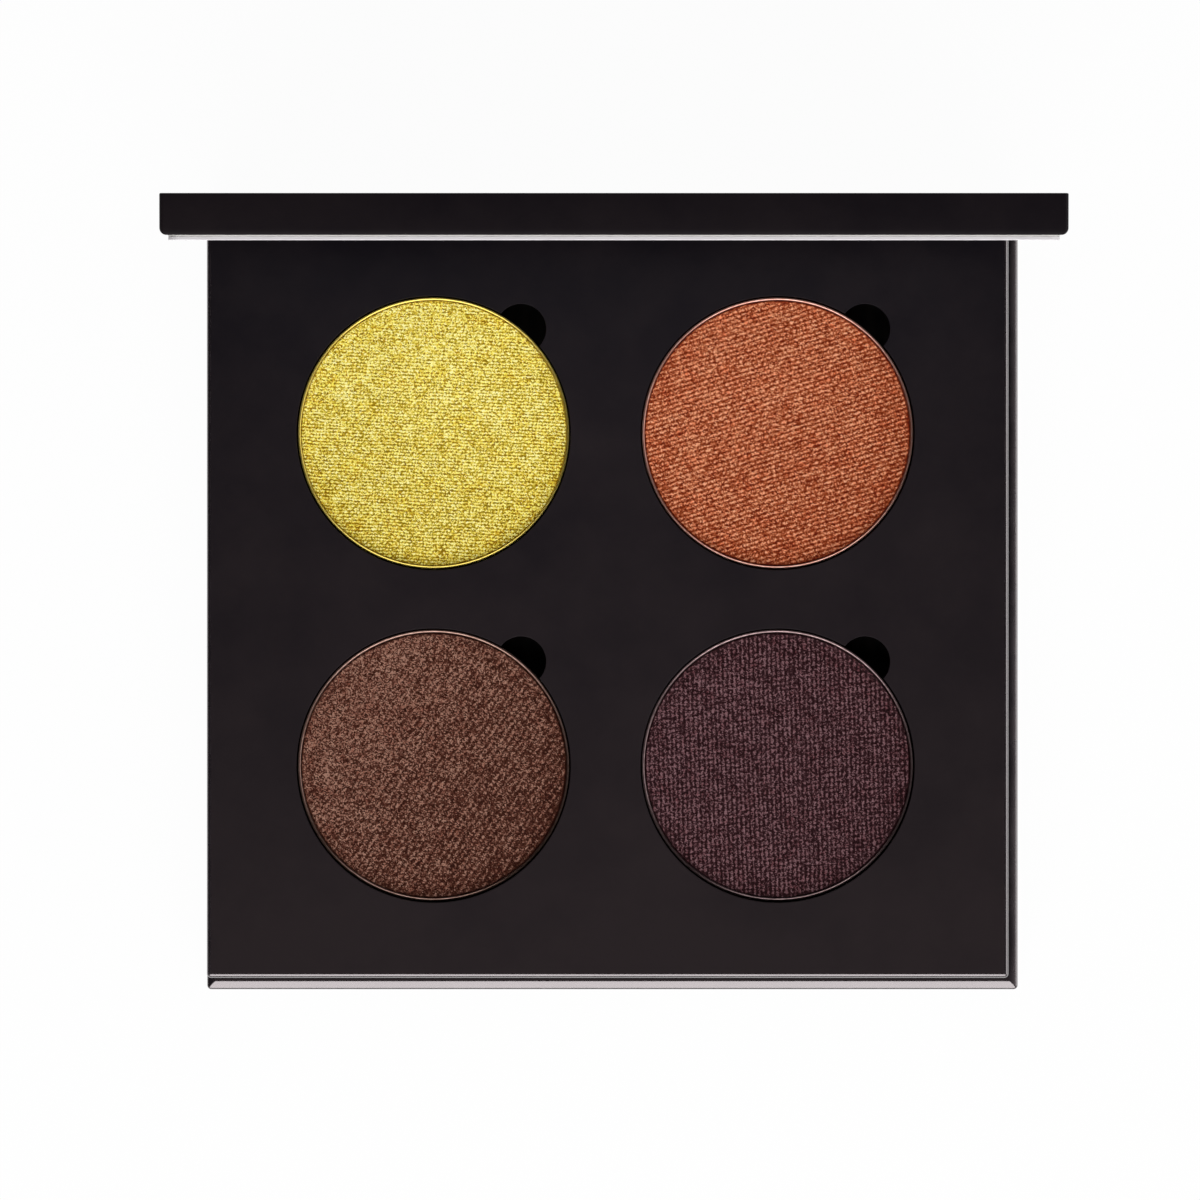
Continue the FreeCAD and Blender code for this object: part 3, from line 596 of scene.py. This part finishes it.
def relief_tree():
    """Geometry Nodes that press a plain weave into a powder cake, and keep its height as "raised"."""
    tree = bpy.data.node_groups.new("Pressed weave", "GeometryNodeTree")
    kinds = {"Geometry": "Geometry", "Centre": "Vector", "Seed": "Int", "Material": "Material"}
    for name in ("Geometry", "Centre", "Reach", "Weft Pitch", "Weft Turn", "Warp Pitch", "Warp Turn",
                 "Warp Height", "Checks", "Relief", "Grit", "Seed", "Material"):
        tree.interface.new_socket(name, in_out="INPUT", socket_type="NodeSocket" + kinds.get(name, "Float"))
    tree.interface.new_socket("Geometry", in_out="OUTPUT", socket_type="NodeSocketGeometry")
    given = add(tree, "NodeGroupInput").outputs
    where = add(tree, "GeometryNodeInputPosition")
    local = add(tree, "ShaderNodeVectorMath", {0: where, 1: given["Centre"]}, operation="SUBTRACT")
    # The cloth is never quite even: its threads wander a little.
    shift = add(tree, "ShaderNodeMath", {0: given["Seed"], 1: 0.013}, operation="MULTIPLY")
    moved = add(tree, "ShaderNodeVectorMath", {0: local, 1: shift}, operation="ADD")
    wander = add(tree, "ShaderNodeTexNoise", {"Vector": moved, "Scale": 420.0, "Detail": 3.0})
    centred = add(tree, "ShaderNodeVectorMath", {0: wander.outputs["Color"], 1: (0.5, 0.5, 0.5)},
                  operation="SUBTRACT")
    strayed = add(tree, "ShaderNodeVectorMath", {0: centred, 1: (0.3 * MM, 0.3 * MM, 0.0), 2: local},
                  operation="MULTIPLY_ADD")
    phases = []
    for pitch, turn in (("Weft Pitch", "Weft Turn"), ("Warp Pitch", "Warp Turn")):
        across = add(tree, "ShaderNodeMath", {0: given[turn]}, operation="COSINE")
        along = add(tree, "ShaderNodeMath", {0: given[turn]}, operation="SINE")
        way = add(tree, "ShaderNodeCombineXYZ", {0: across, 1: along})
        run = add(tree, "ShaderNodeVectorMath", {0: strayed, 1: way}, operation="DOT_PRODUCT")
        turns = add(tree, "ShaderNodeMath", {0: run.outputs["Value"], 1: given[pitch]}, operation="DIVIDE")
        phases.append(add(tree, "ShaderNodeMath", {0: turns, 1: math.pi}, operation="MULTIPLY"))
    # Threads repeat once a pitch, and the over-and-under checks once in two.
    threads, halves = [], []
    for phase in phases:
        double = add(tree, "ShaderNodeMath", {0: phase, 1: 2.0}, operation="MULTIPLY")
        threads.append(add(tree, "ShaderNodeMath", {0: double}, operation="COSINE"))
        halves.append(add(tree, "ShaderNodeMath", {0: phase}, operation="COSINE"))
    checks = add(tree, "ShaderNodeMath", {0: halves[0], 1: halves[1]}, operation="MULTIPLY")
    both = add(tree, "ShaderNodeMath", {0: threads[1], 1: given["Warp Height"], 2: threads[0]},
               operation="MULTIPLY_ADD")
    woven = add(tree, "ShaderNodeMath", {0: checks, 1: given["Checks"], 2: both}, operation="MULTIPLY_ADD")
    most = add(tree, "ShaderNodeMath", {0: given["Warp Height"], 1: given["Checks"]}, operation="ADD")
    span = add(tree, "ShaderNodeMath", {0: most, 1: 1.0}, operation="ADD")
    even = add(tree, "ShaderNodeMath", {0: woven, 1: span}, operation="DIVIDE")
    height = add(tree, "ShaderNodeMath", {0: even, 1: 0.5, 2: 0.5}, operation="MULTIPLY_ADD")
    grains = add(tree, "ShaderNodeTexNoise", {"Vector": moved, "Scale": 1.0 / (0.35 * MM), "Detail": 2.0})
    loose = add(tree, "ShaderNodeMath", {0: grains, 1: -1.0}, operation="ADD")
    flat = add(tree, "ShaderNodeVectorMath", {0: local, 1: (1.0, 1.0, 0.0)}, operation="MULTIPLY")
    out = add(tree, "ShaderNodeVectorMath", {0: flat}, operation="LENGTH").outputs["Value"]
    near = add(tree, "ShaderNodeMath", {0: given["Reach"], 1: 0.4 * MM}, operation="SUBTRACT")
    fade = add(tree, "ShaderNodeMapRange", {"Value": out, 1: near, 2: given["Reach"], 3: 1.0, 4: 0.0})
    sunk = add(tree, "ShaderNodeMath", {0: height, 1: -1.0}, operation="ADD")
    lowered = add(tree, "ShaderNodeMath", {0: sunk, 1: given["Relief"]}, operation="MULTIPLY")
    rough = add(tree, "ShaderNodeMath", {0: loose, 1: given["Grit"], 2: lowered}, operation="MULTIPLY_ADD")
    rise = add(tree, "ShaderNodeMath", {0: rough, 1: fade}, operation="MULTIPLY")
    offset = add(tree, "ShaderNodeCombineXYZ", {2: rise})
    kept_height = add(tree, "GeometryNodeStoreNamedAttribute",
                      {"Geometry": given["Geometry"], "Name": "raised", "Value": height})
    pressed = add(tree, "GeometryNodeSetPosition", {"Geometry": kept_height, "Offset": offset})
    whole = add(tree, "GeometryNodeRealizeInstances", {0: pressed})
    coloured = add(tree, "GeometryNodeSetMaterial", {"Geometry": whole, "Material": given["Material"]})
    add(tree, "NodeGroupOutput", {0: coloured})
    return tree


def cake_blank(name, low, high, edge, foot, count):
    """A smooth cake before pressing: a fine grid that runs over its rounded edge, a wall and a base."""
    centre, radius = (low + high) / 2, (high.x - low.x) / 2
    flat = radius - edge
    reach = flat + edge * math.pi / 2
    vertices, faces = [], []
    for row in range(count + 1):
        y = 2 * row / count - 1
        for column in range(count + 1):
            x = 2 * column / count - 1
            across, along = x * math.sqrt(1 - y * y / 2) * reach, y * math.sqrt(1 - x * x / 2) * reach
            out = math.hypot(across, along)
            height = high.z
            if out > flat:
                bend = (out - flat) / edge
                shrink = (flat + edge * math.sin(bend)) / out
                across, along = across * shrink, along * shrink
                height = high.z - edge * (1 - math.cos(bend))
            vertices.append((centre.x + across, centre.y + along, height))
    for row in range(count):
        for column in range(count):
            first = row * (count + 1) + column
            faces.append((first, first + 1, first + count + 2, first + count + 1))
    rim = ([i for i in range(count)] + [(i + 1) * (count + 1) - 1 for i in range(count)]
           + [(count + 1) ** 2 - 1 - i for i in range(count)]
           + [(count + 1) * (count - i) for i in range(count)])
    profile = [(radius, low.z + foot)]
    profile += [(radius - foot + foot * math.cos(a), low.z + foot - foot * math.sin(a))
                for a in (math.pi / 6, math.pi / 3, math.pi / 2)]
    above = rim
    for out, height in profile:
        below = list(range(len(vertices), len(vertices) + len(rim)))
        for i in rim:
            way = Vector((vertices[i][0] - centre.x, vertices[i][1] - centre.y)).normalized()
            vertices.append((centre.x + way.x * out, centre.y + way.y * out, height))
        for i in range(len(rim)):
            j = (i + 1) % len(rim)
            faces.append((above[i], below[i], below[j], above[j]))
        above = below
    faces.append(tuple(reversed(above)))
    mesh = bpy.data.meshes.new(name)
    mesh.from_pydata([(x * MM, y * MM, z * MM) for x, y, z in vertices], [], faces)
    mesh.shade_smooth()
    return put(name, mesh)


class PALETTE_OT_powders(bpy.types.Operator):
    """Press the four powders, each with the weave of its own cloth"""
    bl_idname = "palette.powders"
    bl_label = "Pressed powders"

    def execute(self, context):
        tree = relief_tree()
        sockets = {item.name: item.identifier for item in tree.interface.items_tree
                   if item.in_out == "INPUT"}
        for name in SHADES:
            shade = getattr(context.scene.palette, name)
            low, high = node_box("powder_" + name)
            edge, foot = 0.12, 0.42
            reach = (high.x - low.x) / 2 - edge
            # Three or four points to a thread, and under 200,000 triangles.
            count = min(MOST_POINTS, int(POINTS_PER_THREAD * (high.x - low.x) / (shade.weft_pitch / MM)))
            cake = cake_blank(f"{name}_powder_cake", low, high, edge, foot, count)
            centre = (low + high) / 2
            material = pressed_powder(name, shade, centre, reach + edge)
            modifier = cake.modifiers.new("Pressed weave", "NODES")
            modifier.node_group = tree
            values = {"Centre": tuple(c * MM for c in centre), "Reach": reach * MM,
                      "Weft Pitch": shade.weft_pitch, "Weft Turn": shade.weft_turn,
                      "Warp Pitch": shade.warp_pitch, "Warp Turn": shade.warp_turn,
                      "Warp Height": shade.warp, "Checks": shade.checks, "Relief": shade.relief,
                      "Grit": shade.grit, "Seed": shade.seed, "Material": material}
            for label, value in values.items():
                modifier[sockets[label]] = value
            bake_modifier(cake, modifier)
            if cake.data.attributes.get("raised") is None:
                raise RuntimeError(f"{cake.name} has no pressed relief")
            place(cake, "pan_" + name, "powder_" + name, ["powder_" + name])
        return {"FINISHED"}


class PALETTE_OT_pans(bpy.types.Operator):
    """Spin the four tinplate pans, with rolled rims"""
    bl_idname = "palette.pans"
    bl_label = "Tinplate pans"

    def execute(self, context):
        sizes = context.scene.palette.pan
        wall, foot = sizes.wall / MM, sizes.foot / MM
        tin = bright_metal("bright_tinplate", sizes.tin, sizes.dulled, 0.22, 0.4, 0.3)
        for name in SHADES:
            shade = getattr(context.scene.palette, name)
            dusted = bright_metal(f"tinplate_dusted_with_{name}", shade.rim, shade.body, 0.24, 0.42, 0.4)
            low, high = node_box("pan_" + name)
            centre, radius = (low + high) / 2, (high.x - low.x) / 2
            profile = [(radius - foot + x, low.z + foot + y) for x, y in arc(foot, -90, 0, 6)]
            # The rim is sheared outside, with a small chamfer, and rolled over inside.
            chamfer, roll = 0.06, 0.18
            rim_start = len(profile)
            profile += [(radius, high.z - chamfer), (radius - chamfer, high.z)]
            profile += [(radius - wall + roll + x, high.z - roll + y) for x, y in arc(roll, 90, 180, 5)]
            rim = range(rim_start, len(profile) - 1)
            inner = foot - wall
            profile += [(radius - wall - inner + x, low.z + foot + y) for x, y in arc(inner, 0, -90, 5)]
            shape = bmesh.new()
            skin(shape, [circle(centre, out, height, PAN_STEPS) for out, height in profile], (0, -1), rim)
            cup = to_mesh(f"{name}_pan_cup", shape)
            place(cup, "pan_" + name, "tinplate", ["pan_" + name], tin, dusted)
        return {"FINISHED"}


# ---------------------------------------------------------------- papers

def well_outline(centre, well, notch, bearing, away, grow, height):
    """The outline of a well and its finger notch, grown by an offset. The notch sits on the pan's rim."""
    well, notch = well + grow, notch + grow
    turn = math.acos((away ** 2 + well ** 2 - notch ** 2) / (2 * away * well))
    lean = math.acos((away ** 2 + notch ** 2 - well ** 2) / (2 * away * notch))
    middle = polar(centre, away, bearing, height)
    outline = []
    for spot, radius, first, sweep, steps in (
            (centre, well, bearing + turn, 2 * math.pi - 2 * turn, WELL_STEPS),
            (middle, notch, bearing - (math.pi - lean), 2 * (math.pi - lean), NOTCH_STEPS)):
        outline += [polar(spot, radius, first + sweep * step / steps, height) for step in range(steps)]
    return outline


class PALETTE_OT_tray_cover(bpy.types.Operator):
    """Wrap the tray in paper, with cut lips at its wells and finger notches"""
    bl_idname = "palette.tray_cover"
    bl_label = "Tray cover paper"

    def execute(self, context):
        paper = context.scene.palette.paper
        low, high = node_box("tray_wrap")
        edge, lip = paper.tray_edge / MM, paper.well_lip / MM
        inner = node_box("platform_card")[1].z
        thick = high.z - inner
        shape = bmesh.new()
        flat, bends = edge + 0.08, 10
        outer = [(0.0, low.z)] + [(edge - x, high.z - edge + y) for x, y in arc(edge, 0, 90, bends)]
        outer.append((flat, high.z))
        under = [(thick, low.z)] + [(edge - x, high.z - edge + y) for x, y in arc(edge - thick, 0, 90, 6)]
        under.append((flat, inner))
        top = skin(shape, [round_corners(low, high, inset, edge - inset, z) for inset, z in outer],
                   folds=range(1, bends + 1))
        below = skin(shape, [round_corners(low, high, inset, edge - inset, z) for inset, z in under])
        join(shape, top[0], below[0])
        holes, floors = [], []
        for name in SHADES:
            start, end = node_box("pan_" + name)
            centre, radius = (start + end) / 2, (end.x - start.x) / 2
            profile = [(lip + 0.03, high.z)] + [(lip - x, high.z - lip + y) for x, y in arc(lip, 90, 0, 5)]
            profile.append((0.0, inner))
            rings = skin(shape, [well_outline(centre, radius + WELL_CLEARANCE, NOTCH_RADIUS, NOTCH_BEARING,
                                              radius, grow, z) for grow, z in profile])
            holes.append(rings[0])
            floors.append(rings[-1])
        fill_between(shape, top[-1], holes)
        fill_between(shape, below[-1], floors)
        place(to_mesh("tray_cover_paper", shape), "case", "soft_touch_paper", ["tray_wrap"], *papers())
        return {"FINISHED"}


class PALETTE_OT_base_cover(bpy.types.Operator):
    """Wrap the base board, whose edge is pressed to a slope, and turn the paper in round the lining"""
    bl_idname = "palette.base_cover"
    bl_label = "Base cover paper"

    def execute(self, context):
        paper = context.scene.palette.paper
        low, high = node_box("base_wrap")
        board_low, board_high = node_box("base_board")
        top = node_box("base_lining")[1].z
        edge, run, pitch = paper.fold_edge / MM, paper.ledge_slope / MM, paper.ledge_pitch
        wall = board_low.z - low.z
        corner, ease, turn_in = 0.4, 0.06, 3.0
        drop = run * math.tan(pitch)
        brow = top - drop - edge * math.cos(pitch)
        start = edge - edge * math.sin(pitch)
        # Outside, from the underside up the wall and over the slope to the turned-in margin.
        profile = [(edge + x, low.z + edge + y) for x, y in arc(edge, -90, -180, 6)]
        profile += [(edge + x, brow + y) for x, y in arc(edge, 180, 90 + math.degrees(pitch), 6)]
        folds = range(7, len(profile) + 2)
        profile += [(start + 0.05, brow + edge * math.cos(pitch) + 0.05 * math.tan(pitch)),
                    (start + run - ease, top - ease * math.tan(pitch)), (start + run + ease, top),
                    (start + run + 2 * ease, top), (turn_in, top), (turn_in, board_high.z),
                    (start + run + 0.2, board_high.z),
                    (wall + 0.12, board_high.z - drop), (wall, board_high.z - drop - 0.2),
                    (wall, board_low.z + 0.1), (wall + 0.1, board_low.z)]
        shape = bmesh.new()
        skin(shape, [round_corners(low, high, inset, max(corner - inset, 0.05), z) for inset, z in profile],
             (0, -1), folds)
        place(to_mesh("base_cover_paper", shape), "case", "soft_touch_paper", ["base_wrap"], *papers())
        board = bmesh.new()
        levels = [(0.1, board_low.z), (0.0, board_low.z + 0.1), (0.0, board_high.z - drop - 0.22),
                  (0.14, board_high.z - drop - 0.03), (start + run - wall + 0.22, board_high.z)]
        skin(board, [round_corners(board_low, board_high, inset, 0.2, z) for inset, z in levels], (0, -1))
        place(to_mesh("base_greyboard", board), "case", "greyboard", ["base_board"],
              bpy.data.materials["recycled_greyboard"])
        # The lining fills the field that the turned-in margin leaves.
        low, high = node_box("base_lining")
        sheet = bmesh.new()
        skin(sheet, [round_corners(low, high, 2.7, 0.3, z) for z in (low.z, high.z)], (0, -1))
        place(to_mesh("base_lining_sheet", sheet), "case", "lining_paper", ["base_lining"],
              bpy.data.materials["dyed_lining_paper"])
        return {"FINISHED"}


def papers():
    """The cover paper's two finishes: flat, and stretched over a fold."""
    return [bpy.data.materials[name] for name in ("soft_touch_laminated_paper", "stretched_laminate_fold")]


class PALETTE_OT_lid_cover(bpy.types.Operator):
    """Wrap the lid, turn its paper in behind the mirror, and line it"""
    bl_idname = "palette.lid_cover"
    bl_label = "Lid cover paper"

    def execute(self, context):
        paper = context.scene.palette.paper
        low, high = closed_box("lid_wrap")
        lining_low, lining_high = closed_box("lid_lining")
        inner, card = lining_low.z, lining_high.z
        side, end = paper.lid_side / MM, paper.lid_end / MM
        corner, wall, margin = 0.4, 0.25, 2.5
        profile = [((margin, margin), card), ((margin, margin), inner), ((side + 0.02, end + 0.06), inner)]
        for step in range(11):
            turn = math.radians(-90 - 9 * step)
            profile.append(((side + side * math.cos(turn), end + end * math.cos(turn)),
                            inner + side + side * math.sin(turn)))
        profile += [((end + x, end + x), high.z - end + y) for x, y in arc(end, 180, 90, 6)]
        profile += [((end + 0.06, end + 0.06), high.z)]
        lined = [(wall + 0.2, high.z - wall), (wall, high.z - wall - 0.2), (wall, card + 0.5),
                 (wall + 0.35, card)]
        shape = bmesh.new()
        rings = skin(shape, [round_corners(low, high, inset, max(corner - inset[0], 0.05), z)
                             for inset, z in profile], (-1,))
        core = skin(shape, [round_corners(low, high, inset, 0.2, z) for inset, z in lined], (0,))
        join(shape, core[-1], rings[0])
        place(to_mesh("lid_cover_paper", shape, SWING), "lid", "soft_touch_paper", ["lid_wrap"], *papers())
        sheet = bmesh.new()
        skin(sheet, [round_corners(low, high, margin + 0.05, 0.3, z) for z in (inner, card)], (0, -1))
        place(to_mesh("lid_lining_sheet", sheet, SWING), "lid", "lining_paper", ["lid_lining"],
              bpy.data.materials["dyed_lining_paper"])
        return {"FINISHED"}


class PALETTE_OT_mirror(bpy.types.Operator):
    """Cut the mirror sheet and polish its edge"""
    bl_idname = "palette.mirror"
    bl_label = "Mirror"

    def execute(self, context):
        sizes = context.scene.palette.mirror
        low, high = closed_box("mirror")
        corner, arris = sizes.corner / MM, sizes.arris / MM
        profile = [(arris, low.z), (0.0, low.z + arris), (0.0, high.z - arris), (arris, high.z)]
        shape = bmesh.new()
        skin(shape, [round_corners(low, high, inset, corner - inset, z, 10) for inset, z in profile],
             (0, -1))
        sheet = to_mesh("mirror_plate", shape, SWING, 20.0)
        place(sheet, "lid", "mirror_sheet", ["mirror"], silvered_sheet(sizes), polished_edge(sizes))
        # The two faces are the only ones with more than four corners.
        for face in sheet.data.polygons:
            face.material_index = 0 if len(face.vertices) > 4 else 1
        return {"FINISHED"}


class PALETTE_OT_hinge(bpy.types.Operator):
    """Join base and lid with the paper hinge, which bends as the lid moves"""
    bl_idname = "palette.hinge"
    bl_label = "Paper hinge"

    def execute(self, context):
        low, high = node_box("spine_wrap")
        start = high.z
        end = AXIS.z + (AXIS.z - start) + 0.05
        thick, valley, steps = 0.2, 0.05, 10
        rear = high.y
        outlines = []
        for step in range(steps + 1):
            z = start + (end - start) * step / steps
            # A slight valley where the paper is creased.
            dip = valley * math.sin(math.pi * step / steps)
            back, front = rear - dip, rear - dip - thick
            outlines.append([Vector((low.x, back, z)), Vector((high.x, back, z)),
                             Vector((high.x, front, z)), Vector((low.x, front, z))])
        shape = bmesh.new()
        skin(shape, outlines, (0, -1))
        strip = to_mesh("paper_hinge_strip", shape)
        strip.data.materials.append(bpy.data.materials["soft_touch_laminated_paper"])
        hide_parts("hinge_crease")
        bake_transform(strip)
        return {"FINISHED"}


class PALETTE_OT_inner_parts(bpy.types.Operator):
    """Give every board, foam, magnet and film that the frame carries its own finish"""
    bl_idname = "palette.inner_parts"
    bl_label = "Boards, foam and magnets"

    def execute(self, context):
        paper = context.scene.palette.paper
        folded_paper(paper)
        finishes = {
            "soft_touch_paper": soft_touch_paper(paper, 2 * CAD_BOX[1][1]),
            "lining_paper": fibre_sheet("dyed_lining_paper", paper.lining, linear("#282426"),
                                        0.25, 0.75, 0.02),
            "greyboard": fibre_sheet("recycled_greyboard", paper.board, linear("#A9A296"), 0.5, 0.85, 0.04),
            "black_card": fibre_sheet("black_core_card", linear("#151314"), linear("#221F20"),
                                      0.3, 0.7, 0.02),
            "spacer_foam": cell_foam(),
            "magnetic_rubber": magnetic_rubber(),
            "steel_plate": bright_metal("rolled_steel_strip", linear("#A6A8AB"), linear("#85888C"),
                                        0.3, 0.45, 0.5),
            "nickel_magnet": bright_metal("nickel_plated_magnet", linear("#C9C5BC"), linear("#A8A49C"),
                                          0.15, 0.3, 0.6),
            "adhesive_film": adhesive_film(),
        }
        for made in frame["nodes"].values():
            for slot in made.material_slots:
                wanted = slot.material.name.split(".")[0] if slot.material else ""
                if wanted in finishes:
                    slot.material = finishes[wanted]
        return {"FINISHED"}


# ---------------------------------------------------------------- stage

class PALETTE_OT_stage(bpy.types.Operator):
    """Set the floor, the lights and the camera"""
    bl_idname = "palette.stage"
    bl_label = "Stage"

    def execute(self, context):
        sizes = context.scene.palette.stage
        scene = context.scene
        scene.view_settings.view_transform = "Standard"
        plane = bmesh.new()
        bmesh.ops.create_grid(plane, x_segments=1, y_segments=1, size=2500.0)
        floor = to_mesh("floor", plane)
        floor.data.materials.append(floor_paint(sizes))
        world = bpy.data.worlds.new("Room")
        world.use_nodes = True
        world.node_tree.nodes["Background"].inputs["Strength"].default_value = sizes.room
        scene.world = world
        panel("Front panel", place_at=(0.0, -0.52, 0.5), size=(0.9, 0.6), power=sizes.front)
        panel("Right panel", place_at=(0.75, -0.05, 0.27), size=(0.5, 0.42), power=sizes.right)
        camera = bpy.data.cameras.new("Camera")
        camera.sensor_width = 36.0
        camera.lens = sizes.lens
        camera.clip_start, camera.clip_end = 0.05, 10.0
        # The lens looks straight down, from a hair left of and before the palette's middle.
        stand = put("Camera", camera)
        stand.location = (-1.2 * MM, -0.27 * MM, sizes.camera_height)
        scene.camera = stand
        return {"FINISHED"}


def panel(name, place_at, size, power):
    """A soft light panel that faces the palette. Its place and size are in metres."""
    light = bpy.data.lights.new(name, "AREA")
    light.shape = "RECTANGLE"
    light.size, light.size_y = size
    light.energy = power
    made = put(name, light)
    made.location = place_at
    made.rotation_euler = (Vector((0, 0, 0.02)) - Vector(place_at)).to_track_quat("-Z", "Y").to_euler()


def floor_paint(sizes):
    """Pale matt board that keeps a soft shadow and is seen as white."""
    material = bpy.data.materials.new("pale_floor_board")
    material.use_nodes = True
    tree = material.node_tree
    tree.nodes.clear()
    matt = add(tree, "ShaderNodeBsdfDiffuse", {"Color": sizes.floor})
    bare = add(tree, "ShaderNodeEmission", {"Color": (1.0, 1.0, 1.0, 1.0), "Strength": 1.0})
    rays = add(tree, "ShaderNodeLightPath").outputs
    seen = add(tree, "ShaderNodeMath", {0: rays["Is Camera Ray"], 1: rays["Is Glossy Ray"]},
               operation="MAXIMUM")
    through = add(tree, "ShaderNodeMath", {0: seen, 1: rays["Is Transmission Ray"]}, operation="MAXIMUM")
    part = add(tree, "ShaderNodeMath", {0: through, 1: sizes.bare}, operation="MULTIPLY")
    mixed = add(tree, "ShaderNodeMixShader", {0: part, 1: matt, 2: bare})
    add(tree, "ShaderNodeOutputMaterial", {"Surface": mixed})
    return material


class PALETTE_PT_dresser(bpy.types.Panel):
    """Lists the steps and the settings"""
    bl_label = "Eyeshadow palette"
    bl_idname = "PALETTE_PT_dresser"
    bl_space_type = "VIEW_3D"
    bl_region_type = "UI"
    bl_category = "Palette"

    def draw(self, context):
        for step in STEPS:
            self.layout.operator(step.bl_idname)
        for title in ("paper", "pan", "mirror", "stage") + SHADES:
            group = getattr(context.scene.palette, title)
            self.layout.label(text=title.capitalize())
            for name in group.bl_rna.properties.keys()[2:]:
                self.layout.prop(group, name)


STEPS = (PALETTE_OT_inner_parts, PALETTE_OT_base_cover, PALETTE_OT_tray_cover, PALETTE_OT_pans,
         PALETTE_OT_powders, PALETTE_OT_lid_cover, PALETTE_OT_mirror, PALETTE_OT_hinge, PALETTE_OT_stage)
CLASSES = (PalettePaper, PalettePan, PaletteMirror, PaletteStage, PaletteGold, PaletteCopper, PaletteBrown,
           PalettePlum, PaletteSettings) + STEPS + (PALETTE_PT_dresser,)


def register():
    for item in CLASSES:
        bpy.utils.register_class(item)
    bpy.types.Scene.palette = PointerProperty(type=PaletteSettings)


def unregister():
    del bpy.types.Scene.palette
    for item in reversed(CLASSES):
        bpy.utils.unregister_class(item)


def main():
    """Builds the palette step by step, and notes its size."""
    register()
    for step in STEPS:
        family, name = step.bl_idname.split(".")
        getattr(getattr(bpy.ops, family), name)()


if __name__ == "__main__":
    main()
